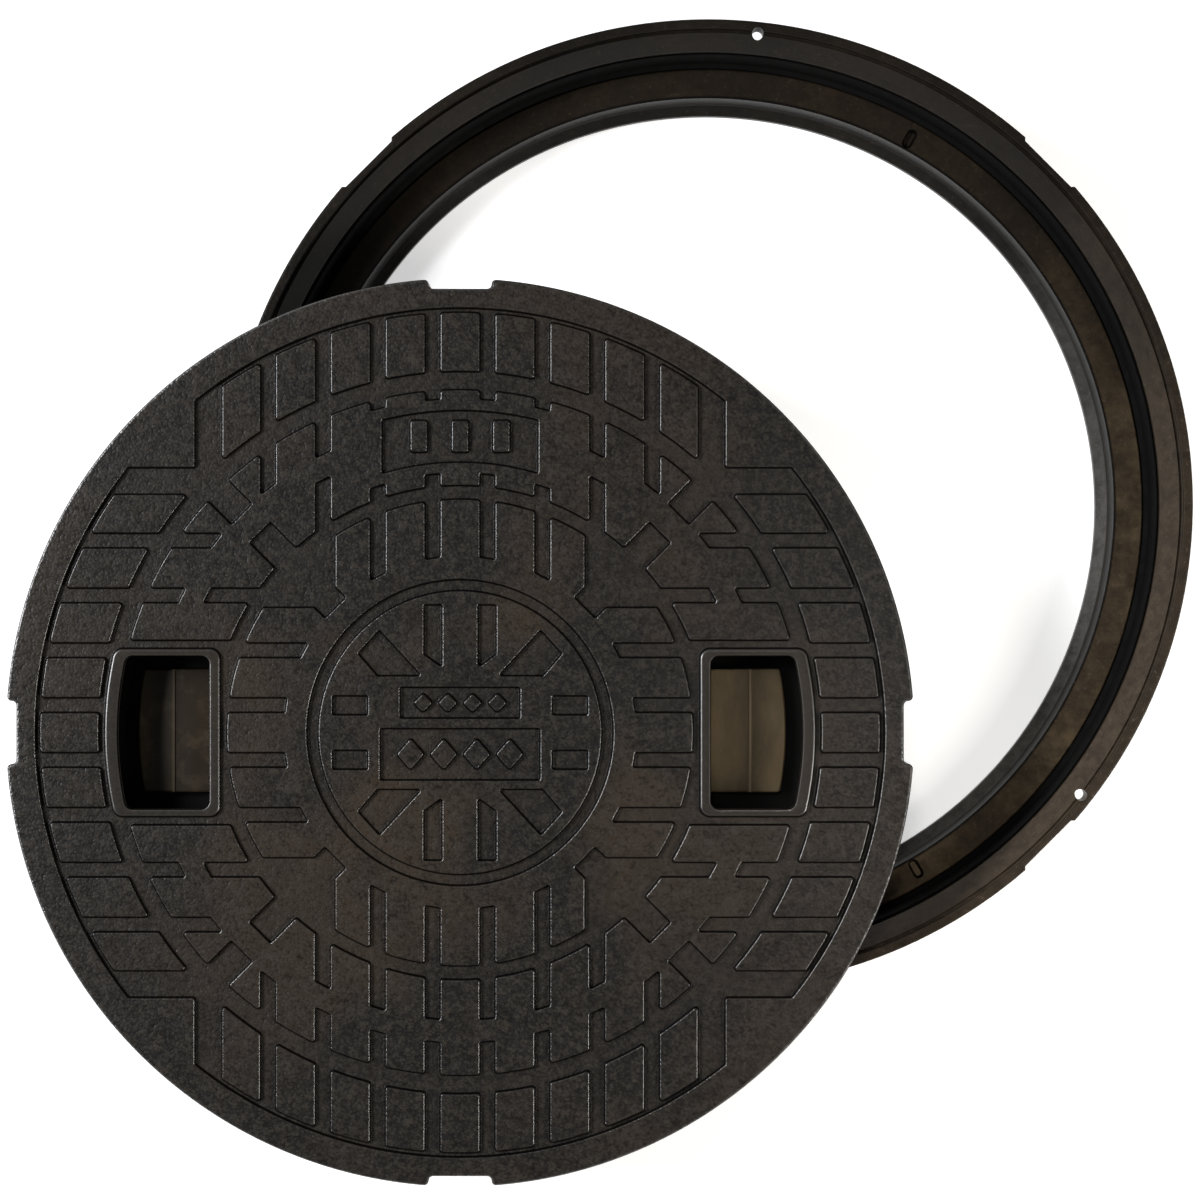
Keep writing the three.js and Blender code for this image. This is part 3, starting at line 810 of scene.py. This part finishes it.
def lip_share(n):
    """One on the two smooth lips round the hand pockets, zero on the grained tread."""
    place = n.add("ShaderNodeVectorMath", {0: n.place, 1: (*LID_AXIS, 0)}, operation="SUBTRACT").outputs[0]
    split = n.add("ShaderNodeSeparateXYZ", {0: place})
    x = n.math("ABSOLUTE", split.outputs["X"])
    y = n.math("ABSOLUTE", split.outputs["Y"])
    inside = n.range(x, 0.1150, 0.1160)
    outside = n.range(n.radius_about(LID_AXIS), 173.6, 172.6)
    return n.times(inside, outside, n.range(y, 0.0416, 0.0408))


def lid_plastic():
    n = Nodes("lid_plastic")
    grain = leather_grain(n)
    lip = lip_share(n)
    radius = n.radius_about(LID_AXIS)
    height = n.height_above(LID_BOTTOM)
    patches = n.noise(9, 3, 0.6)
    # warm tone in random patches, stronger towards the centre: partly the lid's own tone, partly a painted
    # pool of light in the middle of the lid
    warm_and_centre_light = n.times(n.range(patches, 0.46, 0.60), n.range(radius, 185, 60, 0.35, 1.0))
    colour = n.mix(n.range(patches, 0.3, 0.7), (0.0080, 0.0072, 0.0062), (0.0120, 0.0102, 0.0083))
    colour = n.mix(n.times(warm_and_centre_light, 0.75), colour, (0.038, 0.0255, 0.0150))
    worn = n.range(grain, 0.95, 1.35)
    colour = n.mix(n.times(worn, 0.8), colour, (0.036, 0.0300, 0.0243))
    # painted shade in the creases between the pebbles of the grain
    colour = n.mix(n.range(grain, 0.90, 0.60, 0, 0.7), colour, (0.0025, 0.0022, 0.0019))
    sunk = n.range(height, PLATE_TOP + 0.9, PLATE_TOP + 0.1)
    dust = n.times(sunk, n.range(n.noise(60, 4, 0.65), 0.4, 0.7, 0.05, 0.4))
    colour = n.mix(dust, colour, (0.0165, 0.0130, 0.0102))
    colour = n.mix(n.times(lip, 0.6), colour, (0.030, 0.0262, 0.0222))
    # painted shade: the walls between the raised blocks and the sunk channels are darkened nearly to black
    wall = n.between(height, (PLATE_TOP + 0.02, PLATE_TOP + 0.2), (LID_HEIGHT - 0.3, LID_HEIGHT - 0.6))
    colour = n.mix(n.times(wall, 0.9), colour, SHADE)
    mottle = n.range(n.noise(130, 3), 0.3, 0.7, 0.38, 0.50)
    edge = n.between(height, (LID_HEIGHT - 0.6, LID_HEIGHT - 0.4), (LID_HEIGHT - 0.02, LID_HEIGHT - 0.08))
    roughness = n.blend(n.math("MAXIMUM", lip, edge), mottle, 0.33)
    shine = n.math("ADD", n.range(wall, 0, 1, 0.27, 0.10), n.times(edge, 0.65))
    normal = n.bump(grain, n.range(lip, 0, 1, 0.00019, 0.00004))
    n.put(n.shader, "Specular IOR Level", shine)
    return n.done(colour, roughness, normal)


def frame_plastic():
    """Grained on the flat top of the rim, satin and stained on the moulded inner faces, lighter on the near
    right with dust and painted light, with painted shade at the ledge's inner edge and on the sides of its
    recesses.
    """
    n = Nodes("frame_plastic")
    radius = n.radius_about(FRAME_AXIS)
    height = n.height_above(0)
    rim = n.times(n.range(radius, GROOVE["inner"], GROOVE["outer"]), n.range(height, 52.5, 53.5))
    ledge = n.times(n.range(radius, 222, 221), n.range(height, LEDGE_TOP - 1.2, LEDGE_TOP - 0.3))
    foot = n.times(n.range(radius, 206.5, 205.8), n.range(height, 10.5, 9.0))
    patches = n.noise(10, 4, 0.6)
    # a mask that grows towards the near right of the frame; the colours it brings are partly dust and partly
    # painted light
    near_right = side_of(n, FRAME_AXIS, (0.85, -0.5))
    dust_and_light = n.range(n.math("ADD", near_right, n.times(patches, 0.12)), 0.13, 0.26)
    colour = n.mix(n.range(patches, 0.35, 0.65), (0.0085, 0.0068, 0.0052), (0.0150, 0.0112, 0.0078))
    colour = n.mix(n.times(dust_and_light, 0.8), colour, (0.036, 0.0262, 0.0170))
    # painted light: the slope is lighter on the near right
    slope = n.times(n.range(radius, 225.5, 226.5), n.range(height, 53.5, 52.5))
    colour = n.mix(n.times(slope, dust_and_light, 0.75), colour, (0.064, 0.047, 0.032))
    stains = n.range(n.noise(22, 4, 0.65), 0.45, 0.68)
    # the ledge's brown is much lighter on the near right, partly dust and partly painted light
    brown = n.mix(dust_and_light, (0.0230, 0.0165, 0.0100), (0.150, 0.108, 0.062))
    colour = n.mix(n.times(ledge, n.math("ADD", 0.25, n.times(stains, 0.6))), colour, brown)
    sunk = n.between(radius, (206.3, 206.8), (217.9, 217.6))
    sunk = n.times(sunk, n.range(height, LEDGE_TOP - 2.9, LEDGE_TOP - 2.7))
    sides = n.between(height, (LEDGE_TOP - 2.45, LEDGE_TOP - 2.3), (LEDGE_TOP - 0.05, LEDGE_TOP - 0.15))
    floor = n.range(height, LEDGE_TOP - 2.3, LEDGE_TOP - 2.45)
    colour = n.mix(n.times(sunk, floor), colour, brown)
    # painted shade on the sides of the oval recesses in the ledge
    colour = n.mix(n.times(sunk, sides), colour, SHADE)
    # the chamfer foot is pale on the near right, partly its own pale colour and partly painted light
    pale = n.mix(dust_and_light, (0.0150, 0.0136, 0.0120), (0.100, 0.096, 0.090))
    colour = n.mix(n.times(foot, 0.85), colour, pale)
    # painted shade: a dark line round the inner edge of the ledge
    edge_shade_line = n.between(radius, (204.8, 205.4), (207.6, 206.8))
    colour = n.mix(n.times(edge_shade_line, 0.95), colour, (0.0025, 0.0022, 0.0020))
    mottle = n.range(n.noise(150, 5, 0.75), 0.60, 0.35)
    colour = n.mix(n.times(mottle, 0.5), colour, (0.0050, 0.0042, 0.0034))
    specks = n.range(n.noise(420, 3, 0.7), 0.60, 0.70)
    colour = n.mix(n.times(specks, n.range(dust_and_light, 0, 1, 0.12, 0.4)), colour, (0.120, 0.097, 0.073))
    grain = leather_grain(n, 560)
    satin = n.noise(900, 2, 0.6)
    surface = n.mix(rim, satin, grain)
    scratches = n.noise(70, 4, 0.7, (1, 1, 9))
    smooth = n.range(scratches, 0.3, 0.7, 0.30, 0.44)
    rough = n.range(n.noise(150, 3), 0.3, 0.7, 0.42, 0.54)
    roughness = n.blend(rim, smooth, rough)
    waves = n.bump(n.noise(30, 2), 0.0006, 0.4)
    depth = n.range(rim, 0, 1, 0.00005, 0.00018)
    normal = n.bump(surface, depth, 0.9, waves)
    n.shader.inputs["Specular IOR Level"].default_value = 0.11
    return n.done(colour, roughness, normal)


def cup_plastic():
    """Brown and dusty on the raised shelf, light brown in the right cup and dark in the left as painted
    light, with a painted highlight along the seam, and painted black shade in the trench round it.
    """
    n = Nodes("cup_plastic")
    height = n.height_above(LID_BOTTOM)
    side = side_of(n, LID_AXIS)
    across = n.math("ABSOLUTE", side)
    along = n.math("ABSOLUTE", side_of(n, LID_AXIS, (0, 1)))
    level = n.between(height, (SHELF_TOP - 2.6, SHELF_TOP - 1.9), (12.5, 11.5))
    shelf = n.between(across, (0.1190, 0.1200), (0.1645, 0.1635))
    lit = n.times(level, n.range(along, 0.0335, 0.0325), shelf)
    seam = n.range(n.math("ABSOLUTE", n.math("SUBTRACT", across, SEAM * MM)), 0.0013, 0.0003)
    patches = n.noise(16, 3, 0.6)
    darker_tone = n.mix(n.range(patches, 0.35, 0.65), (0.022, 0.0158, 0.0095), (0.036, 0.0258, 0.0150))
    # painted light: the right cup is coloured light brown as if lit, the left cup keeps the darker tone as if
    # shaded
    colour = n.mix(n.range(n.math("ADD", side, n.times(patches, 0.04)), -0.08, 0.13),
                   darker_tone, (0.135, 0.098, 0.052))
    smears = n.range(n.noise(45, 5, 0.7, (1, 0.35, 1)), 0.35, 0.65)
    colour = n.mix(n.times(smears, 0.6), colour, (0.020, 0.0145, 0.0090))
    dust = n.range(n.noise(90, 4, 0.7), 0.5, 0.75)
    colour = n.mix(n.times(dust, 0.35), colour, (0.110, 0.084, 0.052))
    # painted highlight along the ridge of the seam, strong in the right cup and faint in the left
    seam = n.times(seam, n.range(side, -0.05, 0.05, 0.15, 0.9))
    colour = n.mix(seam, colour, (0.270, 0.205, 0.130))
    # painted shade: all but the top of the shelf, the trench round it included, is near black
    colour = n.mix(lit, (0.0035, 0.0033, 0.0031), colour)
    streaks = n.noise(60, 4, 0.65, (1, 0.12, 1))
    roughness = n.range(streaks, 0.3, 0.7, 0.32, 0.50)
    waves = n.bump(n.noise(40, 2), 0.0006, 0.4)
    normal = n.bump(n.noise(1000, 3, 0.6), 0.00006, 0.8, waves)
    n.put(n.shader, "Specular IOR Level", n.range(lit, 0, 1, 0.08, 0.25))
    return n.done(colour, roughness, normal)


def seal_rubber():
    n = Nodes("seal_rubber")
    bloom = n.range(n.noise(45, 4, 0.65), 0.45, 0.75)
    colour = n.mix(n.times(bloom, 0.5), (0.0022, 0.0022, 0.0023), (0.006, 0.0056, 0.005))
    roughness = n.range(n.noise(200, 3), 0.3, 0.7, 0.72, 0.9)
    normal = n.bump(n.noise(1400, 3, 0.7), 0.00008, 0.8)
    n.shader.inputs["Specular IOR Level"].default_value = 0.10
    return n.done(colour, roughness, normal)


# ---------------------------------------------------------------- assembly

def fitted(piece, material, body, slot, *nodes):
    piece.data.materials.clear()
    piece.data.materials.append(material)
    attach(piece, body)
    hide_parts(*nodes)
    return piece


cups = cup_plastic()
fitted(frame_piece(), frame_plastic(), "frame", "frame_plastic", "frame_ring")
fitted(seal_piece(), seal_rubber(), "frame", "seal_rubber", "seal_ring")
fitted(lid_piece(), lid_plastic(), "lid", "lid_plastic", "lid")
fitted(cup_piece("right_cup_moulding", 0), cups, "lid", "cup_plastic", "right_pocket_cup")
fitted(cup_piece("left_cup_moulding", 180), cups, "lid", "cup_plastic", "left_pocket_cup")


# ---------------------------------------------------------------- studio

def make_floor():
    mesh = bpy.data.meshes.new("floor")
    corners = rectangle(-FLOOR_HALF, FLOOR_HALF, -FLOOR_HALF, FLOOR_HALF)
    mesh.from_pydata([(x, y, 0) for x, y in corners], [], [(0, 1, 2, 3)])
    floor = bpy.data.objects.new("floor", mesh)
    floor.location.z = -FLOOR_DROP
    bpy.context.scene.collection.objects.link(floor)
    n = Nodes("floor_paint")
    colour = n.mix(n.noise(3, 2), (0.86, 0.86, 0.85), (0.90, 0.90, 0.89))
    n.put(n.shader, "Base Color", colour)
    n.shader.inputs["Roughness"].default_value = 0.9
    n.shader.inputs["Emission Color"].default_value = (1, 1, 1, 1)
    n.shader.inputs["Emission Strength"].default_value = 0.55
    floor.data.materials.append(n.material)


def add_light(kind, name, place, target, power, colour, **shape):
    light = bpy.data.lights.new(name, kind)
    light.energy = power
    light.color = colour
    for key, value in shape.items():
        setattr(light, key, value)
    lamp = bpy.data.objects.new(name, light)
    lamp.location = place
    lamp.rotation_euler = (Vector(target) - Vector(place)).to_track_quat("-Z", "Y").to_euler()
    bpy.context.scene.collection.objects.link(lamp)


def make_lights():
    """A wide window on the left, a small one on the right, and a spot on the near right of the frame."""
    add_light("AREA", "left_window", (-1.95, 0.45, 1.7), (-0.05, 0.05, 0.05), 78, (0.96, 0.97, 1.0),
              shape="RECTANGLE", size=1.2, size_y=0.6)
    add_light("AREA", "right_window", (1.2, -0.5, 0.9), (0.05, 0, 0.05), 17, (1.0, 0.96, 0.90),
              shape="RECTANGLE", size=0.6, size_y=0.4)
    add_light("SPOT", "frame_spot", (0, 0.25, 1.2), (0.225, -0.135, 0.03), 16, (1.0, 0.97, 0.92),
              spot_size=math.radians(20), spot_blend=1.0, shadow_soft_size=0.1)
    world = bpy.data.worlds.new("studio")
    world.use_nodes = True
    background = world.node_tree.nodes["Background"]
    background.inputs["Color"].default_value = (1, 1, 1, 1)
    background.inputs["Strength"].default_value = 0.13
    bpy.context.scene.world = world


def make_camera():
    """Straight down on the object, with the top of the picture towards +Y."""
    camera = bpy.data.cameras.new("camera")
    camera.lens = 87.9
    camera.sensor_width = 36
    eye = bpy.data.objects.new("camera", camera)
    eye.location = (FRAME_AXIS[0] + CAMERA_OFFSET[0], FRAME_AXIS[1] + CAMERA_OFFSET[1], CAMERA_HEIGHT)
    bpy.context.scene.collection.objects.link(eye)
    bpy.context.scene.camera = eye


make_floor()
make_lights()
make_camera()
bpy.context.scene.view_settings.view_transform = "Standard"
